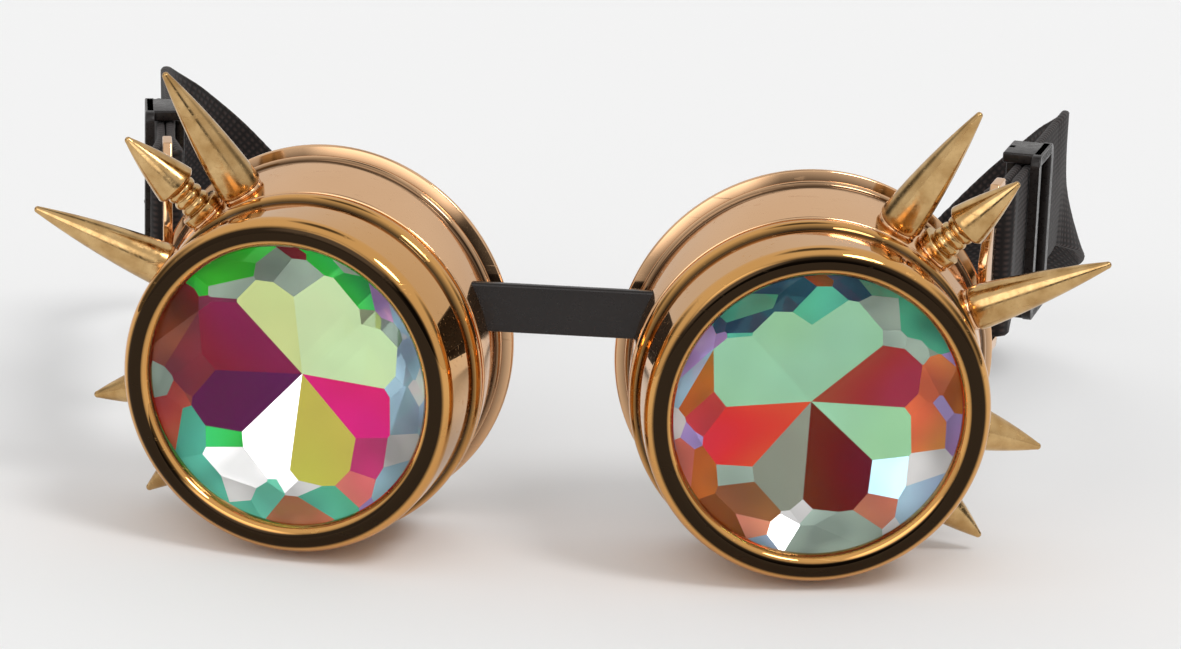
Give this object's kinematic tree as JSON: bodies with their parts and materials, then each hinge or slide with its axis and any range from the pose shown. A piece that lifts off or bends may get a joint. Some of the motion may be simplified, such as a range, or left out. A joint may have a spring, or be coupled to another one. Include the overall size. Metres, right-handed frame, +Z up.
{
  "type": "steampunk goggles",
  "caption": "Steampunk goggles with plated eye cups, screw caps over faceted crystal lenses, cone spikes on the temple sides, a soft nose bridge and an elastic head strap with sliders.",
  "frame": {"origin": "midway between the two face rims, at the height of the cup axes", "axes": "+X to the right of a front view, -Y to the front, +Y towards the wearer's face, +Z up"},
  "size_m": [0.1802, 0.1807, 0.0769],
  "materials": {
    "plated_cup": "moulded plastic, plated pale rose gold",
    "plated_cap": "moulded plastic, plated warm gold",
    "gold_spike": "plated yellow gold, polished",
    "screw_steel": "zinc plated",
    "crystal": "faceted crystal with an iridescent coating on the back",
    "black_rubber": "satin black",
    "slider_black": "moulded black",
    "elastic_strap": "woven charcoal elastic"
  },
  "bodies": {
    "bridge": {"nose_bridge": "black_rubber", "head_strap": "elastic_strap"},
    "right_cup": {"right_eye_cup": "plated_cup", "right_long_spike_top": "gold_spike", "right_long_spike_top_screw": "screw_steel", "right_short_spike_raised": "gold_spike", "right_short_spike_raised_screw": "screw_steel", "right_long_spike_side": "gold_spike", "right_long_spike_side_screw": "screw_steel", "right_short_spike_mid": "gold_spike", "right_short_spike_mid_screw": "screw_steel", "right_short_spike_low": "gold_spike", "right_short_spike_low_screw": "screw_steel", "right_spike_stem": "gold_spike"},
    "left_cup": {"left_eye_cup": "plated_cup", "left_long_spike_top": "gold_spike", "left_long_spike_top_screw": "screw_steel", "left_short_spike_raised": "gold_spike", "left_short_spike_raised_screw": "screw_steel", "left_long_spike_side": "gold_spike", "left_long_spike_side_screw": "screw_steel", "left_short_spike_mid": "gold_spike", "left_short_spike_mid_screw": "screw_steel", "left_short_spike_low": "gold_spike", "left_short_spike_low_screw": "screw_steel", "left_spike_stem": "gold_spike"},
    "right_lens": {"right_crystal_lens": "crystal", "right_lens_gasket": "black_rubber"},
    "left_lens": {"left_crystal_lens": "crystal", "left_lens_gasket": "black_rubber"},
    "right_cap": {"right_screw_cap": "plated_cap"},
    "left_cap": {"left_screw_cap": "plated_cap"},
    "right_slider": {"right_strap_slider": "slider_black"},
    "left_slider": {"left_strap_slider": "slider_black"}
  },
  "joints": [
    {"name": "right_cup_swing", "type": "hinge", "parent": "bridge", "child": "right_cup", "pos_m": [0.007, -0.0128, 0.011], "axis": [0, 0, 1], "range_deg": [-15, 15], "stiffness_Nm_per_rad": 0.05, "deforming": ["nose_bridge", "head_strap"]},
    {"name": "left_cup_swing", "type": "hinge", "parent": "bridge", "child": "left_cup", "pos_m": [-0.007, -0.0128, 0.011], "axis": [0, 0, 1], "range_deg": [-15, 15], "stiffness_Nm_per_rad": 0.05, "deforming": ["nose_bridge", "head_strap"]},
    {"name": "right_lens_lift", "type": "slide", "parent": "right_cup", "child": "right_lens", "axis": [0.1805, -0.9836, 0], "range_m": [0, 0.009]},
    {"name": "left_lens_lift", "type": "slide", "parent": "left_cup", "child": "left_lens", "axis": [-0.1805, -0.9836, 0], "range_m": [0, 0.009]},
    {"name": "right_cap_turn", "type": "hinge", "parent": "right_lens", "child": "right_cap", "pos_m": [0.0432, -0.02852, 0], "axis": [0.1805, -0.9836, 0], "range_deg": [0, 1080]},
    {"name": "left_cap_turn", "type": "hinge", "parent": "left_lens", "child": "left_cap", "pos_m": [-0.0432, -0.02852, 0], "axis": [-0.1805, -0.9836, 0], "range_deg": [0, 1080]},
    {"name": "right_slider_slide", "type": "slide", "parent": "right_cup", "child": "right_slider", "axis": [0.2011, 0.9796, 0], "range_m": [-0.007, 0.014]},
    {"name": "left_slider_slide", "type": "slide", "parent": "left_cup", "child": "left_slider", "axis": [-0.2011, 0.9796, 0], "range_m": [-0.007, 0.014]}
  ],
  "couplings": [
    {"joint": "right_lens_lift", "follows": "right_cap_turn", "m_per_rad": 0.00047746},
    {"joint": "left_lens_lift", "follows": "left_cap_turn", "m_per_rad": 0.00047746}
  ]
}
